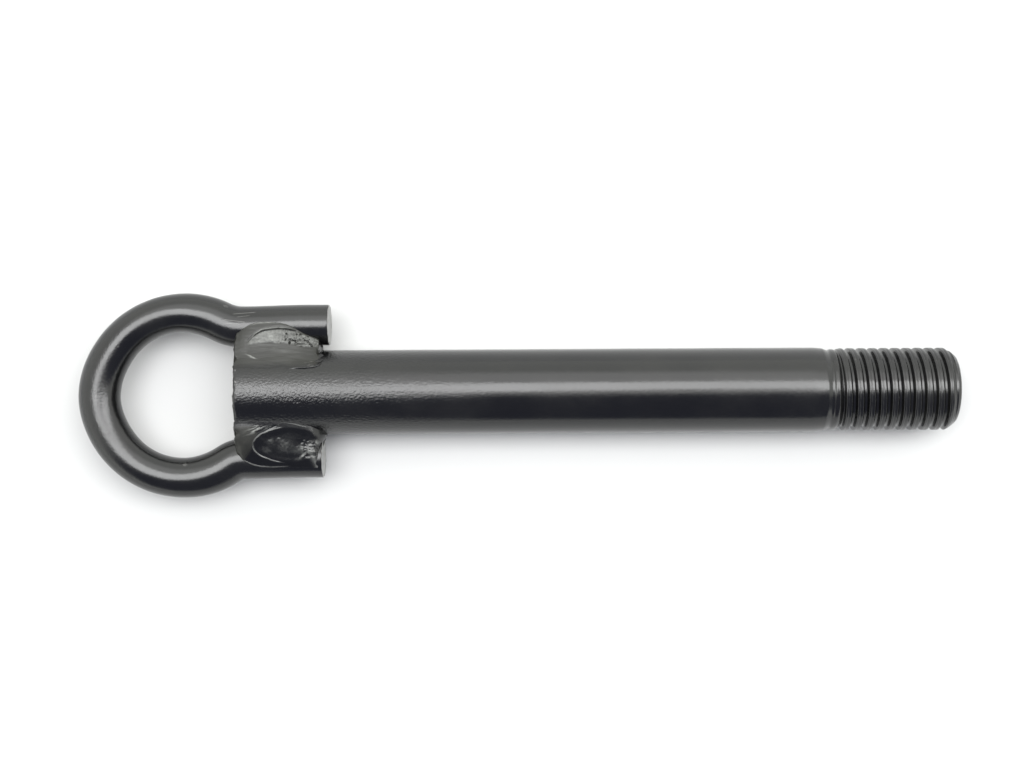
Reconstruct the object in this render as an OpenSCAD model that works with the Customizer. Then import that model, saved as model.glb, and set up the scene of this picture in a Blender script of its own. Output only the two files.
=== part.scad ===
// Welded tow eye: a threaded shank and an eye bent from round bar.
// The two legs of the eye lie beside the shank and four weld beads join them.
// Millimetres. +X runs along the shank to the thread, +Y to the side of the eye
// that ends in the longer leg, +Z up. The part lies with the shank on Z = 0 and
// the eye level, at the height of the shank's axis.

/* [Shank] */
// Overall length of the shank, from the sheared end to the thread's end face
shank_length = 190.5; // [140:0.5:260]
// Diameter of the plain shank
shank_diameter = 22.4; // [20:0.1:28]
// Bevel round the sheared end inside the eye
sheared_end_bevel = 0.5; // [0.2:0.1:1.5]
// Bevel round the shoulder where the plain shank ends at the neck
shoulder_bevel = 1; // [0.4:0.1:1.6]
// Length of the turned neck between the shoulder and the thread
neck_length = 3.2; // [2:0.1:8]
// Diameter of the turned neck
neck_diameter = 20.6; // [19:0.1:21.4]

/* [Thread] */
// Length of the thread with its end chamfer
thread_length = 31.5; // [16:0.5:50]
// Diameter over the crests
thread_diameter = 22; // [21.5:0.1:24]
// Distance from crest to crest
thread_pitch = 3; // [2:0.25:4]
// Depth of the groove below the crests
thread_depth = 1.2; // [0.6:0.1:1.8]
// Width of each crest
crest_width = 1.3; // [0.4:0.1:1.5]
// Width of the bottom of the groove
root_width = 0.4; // [0.2:0.1:0.5]
// Length of the end chamfer along the axis
end_chamfer_length = 3.1; // [1:0.1:5]
// Depth of the end chamfer below the crests
end_chamfer_depth = 2.1; // [1:0.1:4]

/* [Eye] */
// Diameter of the round bar that the eye is bent from
bar_diameter = 10.7; // [8:0.1:12]
// Radius of the ring, to the middle of the bar
ring_radius = 22; // [21.5:0.5:36]
// Distance that the ring sits off the shank's axis, away from the longer leg
ring_offset = 0.6; // [0:0.1:1.2]
// Distance from the ring's centre to the sheared end of the shank
ring_centre_to_shank = 14.8; // [8:0.1:16]
// Radius of the bend from the ring into the longer leg, to the middle of the bar
long_side_bend_radius = 12; // [8:0.5:20]
// Radius of the bend from the ring into the shorter leg, to the middle of the bar
short_side_bend_radius = 8; // [7:0.5:20]
// Clear gap between the shank and each leg, which the weld bridges
leg_gap = 1; // [0.5:0.05:2.5]
// Length of the longer leg beside the shank
long_leg_overlap = 24.5; // [20:0.5:50]
// Length of the shorter leg beside the shank
short_leg_overlap = 23; // [18:0.5:50]

/* [Welds] */
// Length of both front beads along the shank
front_bead_length = 24; // [14:0.5:45]
// Angle round the shank to the toe of the longer leg's front bead, from its top
long_leg_toe_on_shank = 31; // [26:1:50]
// Angle over the top of the longer leg to the toe of its front bead
long_leg_toe_on_bar = 10; // [5:1:30]
// Angle round the shank to the toe of the shorter leg's front bead, from its top
short_leg_toe_on_shank = 49; // [30:1:55]
// Angle over the top of the shorter leg to the toe of its front bead
short_leg_toe_on_bar = 24; // [5:1:30]
// Height of the crown of the front beads above a flat face
front_crown = 1.1; // [0.8:0.1:2]
// Length of both back beads along the shank
back_bead_length = 19; // [10:0.5:40]
// Angle round the shank to the toe of the back beads, from its underside
back_toe_on_shank = 50; // [40:1:60]
// Angle over the bar to the toe of the back beads, from its underside
back_toe_on_bar = 6; // [0:1:20]
// Height of the crown of the back beads above a flat face
back_crown = 0.9; // [0.8:0.1:2]
// Radius of the rounded end of a bead, seen square to the eye
bead_end_radius = 9; // [7:0.5:14]
// Height above the eye's middle plane where each bead's root starts
root_height = 1; // [0.4:0.1:2]

/* [Hidden] */
$fn = 96;

shank_r = shank_diameter / 2;
thread_r = thread_diameter / 2;
root_r = thread_r - thread_depth;
neck_r = neck_diameter / 2;
bar_r = bar_diameter / 2;

// Places along X, with the middle of the whole part at X = 0
overall_length = bar_r + ring_radius + ring_centre_to_shank + shank_length;
ring_x = bar_r + ring_radius - overall_length / 2;
shank_x = ring_x + ring_centre_to_shank;
// The ring's two sides reach as far from Y = 0
axis_y = ring_offset;

// Places along the shank, from its sheared end
neck_start = shank_length - thread_length - neck_length;
thread_start = shank_length - thread_length;
chamfer_start = shank_length - end_chamfer_length;
flank = (thread_pitch - crest_width - root_width) / 2;
groove_count = floor((thread_length - end_chamfer_length - crest_width) / thread_pitch);

// Legs, beside the shank
leg_distance = shank_r + leg_gap + bar_r;
long_leg_end = ring_centre_to_shank + long_leg_overlap;
short_leg_end = ring_centre_to_shank + short_leg_overlap;

// Half the space that the ball fills between two stretches of the bent bar
joint_half = 0.25;
// How far the ball stands out of the bar, a hair's breadth
joint_cover = 0.03;

// Angle where the ring ends and the bend into a leg starts, at the ring's centre
function bend_angle(bend_r, side) =
  asin((leg_distance + side * ring_offset + bend_r) / (ring_radius + bend_r));

// Everything is drawn about the shank's axis and then placed at rest
module at_rest() {
  translate([0, axis_y, shank_r])
    children();
}

// Outline of half the shank: first number from the axis, second along it
module shank_outline() {
  grooves = [
    for (i = [0 : groove_count - 1])
      let (s = thread_start + crest_width + i * thread_pitch)
        each [
          [thread_r, s],
          [root_r, s + flank],
          [root_r, s + flank + root_width],
          [thread_r, s + 2 * flank + root_width]
        ]
  ];
  polygon(concat(
    [
      [0, 0],
      [shank_r - sheared_end_bevel, 0],
      [shank_r, sheared_end_bevel],
      [shank_r, neck_start - shoulder_bevel],
      [shank_r - shoulder_bevel, neck_start],
      [neck_r, neck_start],
      [neck_r, thread_start],
      [thread_r, thread_start]
    ],
    grooves,
    [
      [thread_r, chamfer_start],
      [thread_r - end_chamfer_depth, shank_length],
      [0, shank_length]
    ]
  ));
}

// One turned piece: plain shank, neck and threaded end
module shank() {
  color("#2b2c2d")
    at_rest()
      translate([shank_x, 0, 0])
        rotate([0, 90, 0])
          rotate_extrude()
            shank_outline();
}

// A bend of the bar about the middle of the current frame, between two angles
module bar_arc(radius, from, to) {
  step = joint_half / radius * 180 / PI;
  rotate([0, 0, from + step])
    rotate_extrude(angle = to - from - 2 * step)
      translate([radius, 0])
        circle(r = bar_r);
}

// Ball inside the bar where one stretch of it passes into the next, with its
// poles along the bar
module bar_joint(x, y, direction) {
  translate([x, y, 0])
    rotate([0, 90, direction])
      sphere(r = bar_r + joint_cover);
}

// One bend and leg, drawn as the longer leg's side about the ring's centre
module bend_and_leg(side, bend_r, leg_end) {
  angle = bend_angle(bend_r, side);
  centre_x = (ring_radius + bend_r) * cos(angle);
  centre_y = (ring_radius + bend_r) * sin(angle);
  bar_joint(ring_radius * cos(angle), ring_radius * sin(angle), angle + 90);
  translate([centre_x, centre_y, 0])
    bar_arc(bend_r, 180 + angle, 270);
  bar_joint(centre_x, centre_y - bend_r, 0);
  translate([centre_x + joint_half, centre_y - bend_r, 0])
    rotate([0, 90, 0])
      cylinder(h = leg_end - centre_x - joint_half, r = bar_r);
}

// One bent bar: the ring, its two bends and the two legs
module eye_bar() {
  long_side_angle = bend_angle(long_side_bend_radius, 1);
  short_side_angle = bend_angle(short_side_bend_radius, -1);
  color("#3a3b3c")
    at_rest()
      translate([ring_x, -ring_offset, 0]) {
        bar_arc(ring_radius, long_side_angle, 360 - short_side_angle);
        bend_and_leg(1, long_side_bend_radius, long_leg_end);
        mirror([0, 1, 0])
          bend_and_leg(-1, short_side_bend_radius, short_leg_end);
      }
}

// A rod along X, long enough to pass through any bead
module long_rod(y, z, radius, length) {
  translate([-2, y, z])
    rotate([0, 90, 0])
      cylinder(h = length + 6, r = radius);
}

// Plan of a bead: square at the sheared end and rounded at the other
module bead_plan(length, middle) {
  width = 2 * (leg_distance + bar_r);
  translate([-1, middle - width / 2, -1]) {
    cube([length - bead_end_radius + 1, width, shank_diameter]);
    translate([length - bead_end_radius + 1, width / 2, 0])
      cylinder(h = shank_diameter, r = bead_end_radius);
  }
}

// A bead in the groove between the shank, at its left, and a leg, at its right.
// Its crown is an arc that meets the shank and the bar at the two toes
module bead_body(length, toe_on_shank, toe_on_bar, crown) {
  shank_toe = [shank_r * sin(toe_on_shank), shank_r * cos(toe_on_shank)];
  bar_toe = [leg_distance + bar_r * sin(toe_on_bar), bar_r * cos(toe_on_bar)];
  across = bar_toe - shank_toe;
  half = norm(across) / 2;
  crown_r = (half * half + crown * crown) / (2 * crown);
  up = [-across[1], across[0]] / norm(across);
  middle = (shank_toe + bar_toe) / 2;
  crown_centre = middle - up * (crown_r - crown);
  inner_side = shank_r * 0.3;
  outer_side = leg_distance + bar_r * 0.7;
  difference() {
    intersection() {
      translate([0, inner_side, root_height])
        cube([length + 2, outer_side - inner_side, shank_r + crown]);
      long_rod(crown_centre[0], crown_centre[1], crown_r, length);
      bead_plan(length, middle[0]);
    }
    long_rod(0, 0, shank_r, length);
    long_rod(leg_distance, 0, bar_r, length);
  }
}

// A bead in its place. Side 1 is at the longer leg, and face 1 is the upper
// side of the eye
module bead(side, face, length, toe_on_shank, toe_on_bar, crown) {
  translate([shank_x, 0, 0])
    mirror([0, side > 0 ? 0 : 1, 0])
      mirror([0, 0, face > 0 ? 0 : 1])
        bead_body(length, toe_on_shank, toe_on_bar, crown);
}

module front_bead(side, toe_on_shank, toe_on_bar) {
  color("#5b5c58")
    at_rest()
      bead(side, 1, front_bead_length, toe_on_shank, toe_on_bar, front_crown);
}

module back_bead(side) {
  color("#4c4d4a")
    at_rest()
      bead(side, -1, back_bead_length, back_toe_on_shank, back_toe_on_bar, back_crown);
}

module weld_front_long_leg() {
  front_bead(1, long_leg_toe_on_shank, long_leg_toe_on_bar);
}

module weld_front_short_leg() {
  front_bead(-1, short_leg_toe_on_shank, short_leg_toe_on_bar);
}

module weld_back_long_leg() {
  back_bead(1);
}

module weld_back_short_leg() {
  back_bead(-1);
}

shank();
eye_bar();
weld_front_long_leg();
weld_front_short_leg();
weld_back_long_leg();
weld_back_short_leg();
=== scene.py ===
"""Looks of the welded tow eye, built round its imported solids.

The scene is in metres. A length in this file is in millimetres and is scaled
once, where a mesh is made. x runs along the part as in the frame, and y and z
are measured from the shank's axis, y toward the longer leg and z up. On a weld
bead, x is measured from the shank's sheared end and y away from the axis.
"""

import math
from types import SimpleNamespace

import bpy
import numpy as np
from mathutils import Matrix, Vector, noise


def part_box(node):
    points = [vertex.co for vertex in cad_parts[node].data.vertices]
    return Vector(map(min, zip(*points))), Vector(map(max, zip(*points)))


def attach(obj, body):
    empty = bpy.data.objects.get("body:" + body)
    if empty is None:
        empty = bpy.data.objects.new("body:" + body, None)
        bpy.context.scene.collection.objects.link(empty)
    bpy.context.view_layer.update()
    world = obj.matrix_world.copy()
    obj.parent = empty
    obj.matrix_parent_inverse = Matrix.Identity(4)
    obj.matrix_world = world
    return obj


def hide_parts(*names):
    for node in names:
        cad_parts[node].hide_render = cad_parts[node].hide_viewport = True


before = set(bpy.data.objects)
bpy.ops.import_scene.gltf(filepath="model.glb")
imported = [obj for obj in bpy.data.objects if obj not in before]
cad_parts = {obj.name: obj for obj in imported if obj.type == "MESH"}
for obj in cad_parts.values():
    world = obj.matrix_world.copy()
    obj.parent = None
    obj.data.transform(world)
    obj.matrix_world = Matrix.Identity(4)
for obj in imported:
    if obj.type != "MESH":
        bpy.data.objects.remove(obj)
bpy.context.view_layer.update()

MM = 0.001

# Sizes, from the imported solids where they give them

shank_low, shank_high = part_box("shank")
eye_low, eye_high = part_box("eye_bar")

SHANK_R = (shank_high.z - shank_low.z) / 2 / MM
AXIS_Y = (shank_high.y + shank_low.y) / 2 / MM
AXIS_Z = (shank_high.z + shank_low.z) / 2 / MM
SHEARED_X = shank_low.x / MM
THREAD_END_X = shank_high.x / MM
RING_NOSE_X = eye_low.x / MM
LONG_LEG_END_X = eye_high.x / MM

BAR_R = 5.35
RING_R = 22.0
RING_OFFSET = 0.6
RING_X = RING_NOSE_X + BAR_R + RING_R
LEG_GAP = 1.0
LEG_Y = SHANK_R + LEG_GAP + BAR_R
LEG_LENGTH_DIFFERENCE = 1.7
SHORT_LEG_END_X = LONG_LEG_END_X - LEG_LENGTH_DIFFERENCE
LONG_SIDE_BEND_R = 12.0
SHORT_SIDE_BEND_R = 8.0

THREAD_R = 11.0
THREAD_PITCH = 3.0
THREAD_DEPTH = 1.2
THREAD_LENGTH = 31.5
NECK_LENGTH = 3.2
FIRST_CREST = 0.9
THREAD_START_X = THREAD_END_X - THREAD_LENGTH
FIRST_CREST_X = THREAD_START_X + FIRST_CREST
NECK_START_X = THREAD_START_X - NECK_LENGTH
CHAMFER_LENGTH = 3.1
CHAMFER_DEPTH = 2.1

# Small tools


def to_metres(x, y, z):
    """Points about the shank's axis in millimetres, in the frame in metres."""
    x, y, z = np.broadcast_arrays(x, y, z)
    return np.stack([x, AXIS_Y + y, AXIS_Z + z], axis=-1) * MM


def smooth(value, low, high):
    """0 below low, 1 above high, and a smooth step between them."""
    t = np.clip((value - low) / (high - low), 0, 1)
    return t * t * (3 - 2 * t)


def within(value, start, full, fading, stop):
    """1 from full to fading, and 0 before start and after stop."""
    return smooth(value, start, full) * (1 - smooth(value, fading, stop))


def bell(value, centre, width):
    """1 at the centre, falling away on both sides over about the width."""
    return np.exp(-(((value - centre) / width) ** 2))


def spot(x, y, mark):
    """A soft mark, given as its middle's (x, y) and its size along each."""
    (middle_x, middle_y), (size_x, size_y) = mark
    return bell(x, middle_x, size_x) * bell(y, middle_y, size_y)


def streak(x, y, middle, slope, length, width):
    """A soft slanting line through its middle's (x, y)."""
    off_line = y - middle[1] - slope * (x - middle[0])
    return bell(x, middle[0], length) * bell(off_line, 0.0, width)


def rough(x, y, z, size, octaves, seed):
    """Fractal noise of about -1 to 1 at each point, for features of that size."""
    x, y, z = np.broadcast_arrays(x, y, z)
    flat = zip(x.ravel() / size + seed, y.ravel() / size, z.ravel() / size)
    values = [noise.fractal(Vector(p), 1.0, 2.0, octaves) for p in flat]
    return np.array(values).reshape(x.shape)


def rough_from_above(x, y, size, octaves, seed):
    """The same noise on a face seen from above."""
    return rough(x, y, 0 * x, size, octaves, seed)


def curve(x, pairs):
    """A smooth line through a few (x, value) pairs."""
    xs = np.array([p[0] for p in pairs], float)
    ys = np.array([p[1] for p in pairs], float)
    fine = np.linspace(xs[0], xs[-1], 400)
    values = np.interp(fine, xs, ys)
    reach = 18
    padded = np.concatenate([np.full(reach, values[0]), values, np.full(reach, values[-1])])
    kernel = np.hanning(2 * reach + 1)
    values = np.convolve(padded, kernel / kernel.sum(), mode="valid")
    return np.interp(x, fine, values)


def turns_inward(points, quads):
    """True where the quads enclose less than no volume, seen from their middle."""
    corners = points[quads] - points.mean(0)
    a, b, c, d = (corners[:, n] for n in range(4))
    volume = np.einsum("ij,ij->i", a, np.cross(b, c)).sum()
    volume += np.einsum("ij,ij->i", a, np.cross(c, d)).sum()
    return volume < 0


def ring_mesh(name, rings, attributes):
    """A closed body through a row of closed rings, with a fan at each end."""
    count, around = rings.shape[:2]
    points = np.concatenate([rings.reshape(-1, 3), [rings[0].mean(0), rings[-1].mean(0)]])
    i = np.arange(count - 1)[:, None] * around
    j = np.arange(around)[None, :]
    k = (j + 1) % around
    quads = np.stack([i + j, i + k, i + around + k, i + around + j], axis=-1).reshape(-1, 4)
    faces = quads.tolist()
    first = count * around
    last = first + 1
    end = (count - 1) * around
    for a in range(around):
        b = (a + 1) % around
        faces.append([first, b, a])
        faces.append([last, end + a, end + b])
    mesh = bpy.data.meshes.new(name)
    mesh.from_pydata(points.tolist(), [], faces)
    if turns_inward(points, quads):
        mesh.flip_normals()
    for key, values in attributes.items():
        layer = mesh.attributes.new(key, "FLOAT", "POINT")
        at_points = np.concatenate([values.reshape(-1), [values[0].mean(), values[-1].mean()]])
        layer.data.foreach_set("value", at_points.astype(np.float32))
    mesh.shade_smooth()
    mesh.validate()
    mesh.update()
    piece = bpy.data.objects.new(name, mesh)
    bpy.context.scene.collection.objects.link(piece)
    return piece


def place(piece, node, material):
    """Gives a piece its material, hangs it on the root body and hides the solid it stands in for.
    """
    piece.data.materials.append(material)
    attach(piece, "root")
    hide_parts(node)


# Materials


class Nodes:
    """Short calls for a material's nodes."""

    def __init__(self, tree):
        self.tree = tree

    def add(self, kind, **settings):
        made = self.tree.nodes.new(kind)
        for key, value in settings.items():
            setattr(made, key, value)
        return made

    def link(self, source, target):
        self.tree.links.new(source, target)

    def noise(self, where, scale, detail, roughness):
        made = self.add("ShaderNodeTexNoise")
        made.inputs["Scale"].default_value = scale
        made.inputs["Detail"].default_value = detail
        made.inputs["Roughness"].default_value = roughness
        self.link(where, made.inputs["Vector"])
        return made.outputs[0]

    def span(self, value, low, high, to_low=0.0, to_high=1.0):
        made = self.add("ShaderNodeMapRange", interpolation_type="SMOOTHSTEP")
        self.link(value, made.inputs["Value"])
        made.inputs["From Min"].default_value = low
        made.inputs["From Max"].default_value = high
        made.inputs["To Min"].default_value = to_low
        made.inputs["To Max"].default_value = to_high
        return made.outputs["Result"]

    def math(self, operation, a, b):
        made = self.add("ShaderNodeMath", operation=operation)
        for slot, value in enumerate((a, b)):
            if isinstance(value, (int, float)):
                made.inputs[slot].default_value = value
            else:
                self.link(value, made.inputs[slot])
        return made.outputs[0]

    def vector_math(self, operation, a, b=None):
        made = self.add("ShaderNodeVectorMath", operation=operation)
        self.link(a, made.inputs[0])
        if b is not None:
            made.inputs[1].default_value = b
        return made.outputs

    def mix(self, share, a, b):
        made = self.add("ShaderNodeMix", data_type="RGBA")
        self.link(share, made.inputs["Factor"])
        for key, value in ((6, a), (7, b)):
            if isinstance(value, tuple):
                made.inputs[key].default_value = (*value, 1.0)
            else:
                self.link(value, made.inputs[key])
        return made.outputs[2]

    def axes(self, where):
        made = self.add("ShaderNodeSeparateXYZ")
        self.link(where, made.inputs[0])
        return made.outputs

    def edge_wear(self, low, high):
        """1 on the mesh's sharp outer edges."""
        pointiness = self.add("ShaderNodeNewGeometry").outputs["Pointiness"]
        return self.span(pointiness, low, high)

    def scratch(self, where, start, stop, half_width):
        """A mask along the line from start to stop, seen from above, in millimetres."""
        fade = 0.8
        x, y = self.axes(where)[:2]
        slope = (stop[1] - start[1]) / (stop[0] - start[0])
        level = start[1] * MM - slope * start[0] * MM
        line = self.math("ADD", self.math("MULTIPLY", x, slope), level)
        off = self.math("ABSOLUTE", self.math("SUBTRACT", y, line), 0.0)
        on_line = self.span(off, 0.0, half_width * MM, 1.0, 0.0)
        begun = self.span(x, start[0] * MM, (start[0] + fade) * MM)
        ended = self.span(x, (stop[0] - fade) * MM, stop[0] * MM, 1.0, 0.0)
        return self.math("MULTIPLY", on_line, self.math("MULTIPLY", begun, ended))

    def attribute(self, name):
        return self.add("ShaderNodeAttribute", attribute_name=name).outputs["Fac"]


def new_material(name):
    material = bpy.data.materials.new(name)
    material.use_nodes = True
    nodes = Nodes(material.node_tree)
    shader = material.node_tree.nodes["Principled BSDF"]
    where = nodes.add("ShaderNodeTexCoord").outputs["Object"]
    return material, nodes, shader, where


def bump_chain(nodes, shader, layers):
    """Adds bump from several heights, each (height, strength, distance in metres)."""
    before = None
    for height, strength, distance in layers:
        made = nodes.add("ShaderNodeBump")
        if isinstance(strength, float):
            made.inputs["Strength"].default_value = strength
        else:
            nodes.link(strength, made.inputs["Strength"])
        made.inputs["Distance"].default_value = distance
        nodes.link(height, made.inputs["Height"])
        if before is not None:
            nodes.link(before, made.inputs["Normal"])
        before = made.outputs["Normal"]
    nodes.link(before, shader.inputs["Normal"])


COAT = (0.0038, 0.0039, 0.0041)
COAT_THIN = (0.0065, 0.0065, 0.0062)
WORN = (0.085, 0.084, 0.08)
BARE = (0.36, 0.36, 0.35)
BARE_DULL = (0.22, 0.22, 0.21)
COAT_IOR = 1.56

# Bump depths in metres
PEEL_DEPTH = 0.00003
GRIT_DEPTH = 0.00001
GRAIN_DEPTH = 0.00014

# The coat is grainy at the first place along x and smooth from the second
SHANK_GRAIN = (-50, 10)
BAR_GRAIN = (-125, -95)
GRAIN_STRENGTH = (0.9, 0.02)

# Middle roughness of the coat
SHANK_SATIN = 0.18
BAR_SATIN = 0.21

# Light scratches on the longer leg, each from one (x, y) to another, with its width
LEG_SCRATCHES = [
    ((-75.0, 21.4), (-68.5, 21.9), 0.12),
    ((-74.0, 20.6), (-70.0, 21.0), 0.1),
    ((-77.5, 20.0), (-71.0, 19.2), 0.14),
    ((-77.0, 19.0), (-72.5, 18.7), 0.1),
]


def coat_material(name, satin, grain_ends, scratches):
    """Satin black coat: orange peel, cloudy gloss, worn edges and bare chips."""
    material, nodes, shader, where = new_material(name)
    cloud = nodes.noise(where, 60, 4, 0.6)
    fine = nodes.noise(where, 900, 3, 0.6)
    peel = nodes.noise(where, 1150, 2, 0.5)
    grit = nodes.noise(where, 3800, 2, 0.5)
    grain = nodes.noise(where, 1700, 2, 0.6)
    wear_spots = nodes.noise(where, 520, 4, 0.7)
    bare = nodes.attribute("bare")

    worn = nodes.math("MULTIPLY", nodes.edge_wear(0.53, 0.62), nodes.span(wear_spots, 0.42, 0.66))
    worn = nodes.math("MULTIPLY", worn, 0.6)
    for start, stop, half_width in scratches:
        worn = nodes.math("MAXIMUM", worn, nodes.scratch(where, start, stop, half_width))

    tone = nodes.mix(nodes.span(cloud, 0.35, 0.7), COAT, COAT_THIN)
    tone = nodes.mix(worn, tone, WORN)
    bare_tone = nodes.mix(nodes.span(fine, 0.3, 0.7), BARE, BARE_DULL)
    nodes.link(nodes.mix(bare, tone, bare_tone), shader.inputs["Base Color"])

    roughness = nodes.span(cloud, 0.3, 0.75, satin - 0.03, satin + 0.05)
    roughness = nodes.math("ADD", roughness, nodes.span(fine, 0.3, 0.8, -0.02, 0.03))
    roughness = nodes.math("ADD", roughness, nodes.math("MULTIPLY", bare, 0.2))
    nodes.link(roughness, shader.inputs["Roughness"])
    shader.inputs["IOR"].default_value = COAT_IOR

    x = nodes.axes(where)[0]
    grainy = nodes.span(x, grain_ends[0] * MM, grain_ends[1] * MM, *GRAIN_STRENGTH)
    layers = [(peel, 0.5, PEEL_DEPTH), (grit, 0.3, GRIT_DEPTH), (grain, grainy, GRAIN_DEPTH)]
    bump_chain(nodes, shader, layers)
    return material


OLIVE = (0.0105, 0.0105, 0.0085)
OLIVE_THIN = (0.014, 0.014, 0.011)
# Greys of the crusted scale, also used for painted highlights on the beads
SCALE_AND_HIGHLIGHT_DARK = (0.1, 0.102, 0.096)
SCALE_AND_HIGHLIGHT_LIGHT = (0.26, 0.264, 0.25)
WELD_IOR = 1.5


def weld_material(name):
    """Coated weld metal: glossy pools, matt olive pads and grey crusted scale. The scale's grey
    also paints highlights, and the pools' black also paints shade.
    """
    material, nodes, shader, where = new_material(name)
    cloud = nodes.noise(where, 240, 4, 0.6)
    fine = nodes.noise(where, 1400, 4, 0.65)
    grit = nodes.noise(where, 4200, 3, 0.6)
    crust_and_painted_highlights = nodes.attribute("crust_and_painted_highlights")
    pool_and_painted_shade = nodes.span(nodes.attribute("gloss_and_painted_shade"), 0.2, 0.8)

    coat = nodes.mix(nodes.span(cloud, 0.35, 0.7), OLIVE, OLIVE_THIN)
    # Glossy pools take the black coat; the same channel paints shade darker in the crack and
    # under the leg's end
    coat = nodes.mix(pool_and_painted_shade, coat, COAT)
    coat = nodes.mix(nodes.math("MULTIPLY", nodes.edge_wear(0.54, 0.68), 0.3), coat, WORN)
    # This channel mixes in the grey: real crusted scale, and painted highlights on ridges, rims
    # and glints
    scale = nodes.mix(nodes.span(fine, 0.2, 0.8), SCALE_AND_HIGHLIGHT_DARK, SCALE_AND_HIGHLIGHT_LIGHT)
    nodes.link(nodes.mix(crust_and_painted_highlights, coat, scale), shader.inputs["Base Color"])

    roughness = nodes.span(cloud, 0.3, 0.7, 0.36, 0.44)
    roughness = nodes.math("SUBTRACT", roughness, nodes.math("MULTIPLY", pool_and_painted_shade, 0.2))
    roughness = nodes.math("ADD", roughness, nodes.math("MULTIPLY", crust_and_painted_highlights, 0.2))
    nodes.link(roughness, shader.inputs["Roughness"])
    shader.inputs["IOR"].default_value = WELD_IOR

    bump_chain(nodes, shader, [(fine, 0.35, PEEL_DEPTH), (grit, 0.3, GRIT_DEPTH)])
    return material


# Shank

# Radius of the neck and the first crest, at each distance from where the shank ends
NECK_PROFILE = [
    (-1.1, 11.2),
    (-0.7, 11.1),
    (0.75, 10.5),
    (1.2, 10.45),
    (1.6, 10.72),
    (2.4, 10.75),
    (3.0, 10.5),
    (3.6, 10.8),
    (4.4, 11.0),
    (6.0, 11.0),
]

# A rolled crest: half its flat width, a fold along its middle and rounded edges
CREST_HALF = 0.72
ROOT_HALF = 0.14
FOLD_PLACE = -0.1
FOLD_WIDTH = 0.09
FOLD_DEPTH = 0.16
CREST_ROUNDING = 0.07

# Turning marks on the end chamfer, and how softly the thread runs into it
TURNING_PITCH = 0.6
TURNING_DEPTH = 0.035
RUN_IN = 0.12

SHANK_AROUND = 168
SHEARED_BEVEL = 0.9
SHEARED_FACE_RADII = (0.6, 2, 3.5, 5, 6.5, 8, 9.2, 10)
END_FACE_RADII = (7.5, 6, 4.5, 3, 1.5, 0.5)
# Rounding of the thread's end face: how far back and how far in each row lies
END_ROUNDING = ((0.16, 0.02), (0.07, 0.1), (0.02, 0.22), (0.0, 0.4))
# Steps along x from row to row: near the eye, along the plain shank, in the thread
EYE_END_STEP = 0.6
PLAIN_STEP = 1.5
THREAD_STEP = 0.105
EYE_END_LENGTH = 30

# The sheared end: depths of its rim's coarse and fine raggedness and of its dish
RIM_RAGGED = 0.5
RIM_FINE = 0.08
DISH_DEPTH = 0.25
# Where its outline is notched beside each front weld, how wide and how deep
LONG_LEG_NOTCH_Y = 8.9
LONG_LEG_NOTCH_WIDTH = 0.7
SHORT_LEG_NOTCH_Y = 10.6
SHORT_LEG_NOTCH_WIDTH = 0.8
SHANK_NOTCH_DEPTH = 0.55


def thread_surface(x, turn):
    """Radius at each x and share of a turn, from the neck to the end face."""
    along = (x - FIRST_CREST_X) / THREAD_PITCH - turn
    from_crest = (along - np.round(along)) * THREAD_PITCH
    flank = THREAD_PITCH / 2 - CREST_HALF - ROOT_HALF
    fall = np.clip((np.abs(from_crest) - CREST_HALF) / flank, 0, 1)
    fall = np.sin(fall * math.pi / 2)
    crest = curve(x - NECK_START_X, NECK_PROFILE)
    started = smooth(x, NECK_START_X + 2.4, THREAD_START_X + 1.2)
    fold = FOLD_DEPTH * bell(from_crest, FOLD_PLACE, FOLD_WIDTH)
    rounding = CREST_ROUNDING * np.abs(from_crest / CREST_HALF) ** 5 * (1 - fall)
    radius = crest - (THREAD_DEPTH * fall + fold + rounding) * started
    run = np.clip((x - THREAD_END_X + CHAMFER_LENGTH) / CHAMFER_LENGTH, 0, 1)
    cone = THREAD_R + 0.05 - CHAMFER_DEPTH * run**1.35
    marks = np.sin((x - turn * TURNING_PITCH) * 2 * math.pi / TURNING_PITCH)
    cone = cone - TURNING_DEPTH * marks * smooth(run, 0.1, 0.3)
    share = np.clip(0.5 + 0.5 * (radius - cone) / RUN_IN, 0, 1)
    return radius * (1 - share) + cone * share - RUN_IN * share * (1 - share)


def shank_rows(turn):
    """Rows from the sheared end to the thread's end: x, radius, share of bare steel."""
    rows = [(SHEARED_X, radius, 1.0) for radius in SHEARED_FACE_RADII]
    for degrees in np.linspace(0, 90, 7):
        a = math.radians(degrees)
        x = SHEARED_X + SHEARED_BEVEL * (1 - math.cos(a))
        radius = SHANK_R - SHEARED_BEVEL * (1 - math.sin(a))
        rows.append((x, radius, 1.0 - degrees / 90))
    eye_end = SHEARED_X + EYE_END_LENGTH
    for x in np.arange(SHEARED_X + SHEARED_BEVEL + 0.4, eye_end, EYE_END_STEP):
        rows.append((x, SHANK_R, 0.0))
    for x in np.arange(eye_end, NECK_START_X - 1.6, PLAIN_STEP):
        rows.append((x, SHANK_R, 0.0))
    for x in np.arange(NECK_START_X - 1.2, THREAD_END_X - 0.2, THREAD_STEP):
        rows.append((x, thread_surface(x, turn), 0.0))
    end_r = THREAD_R - CHAMFER_DEPTH
    for back, inward in END_ROUNDING:
        rows.append((THREAD_END_X - back, end_r - inward, 0.0))
    for radius in END_FACE_RADII:
        rows.append((THREAD_END_X, radius, 0.0))
    return rows


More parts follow.
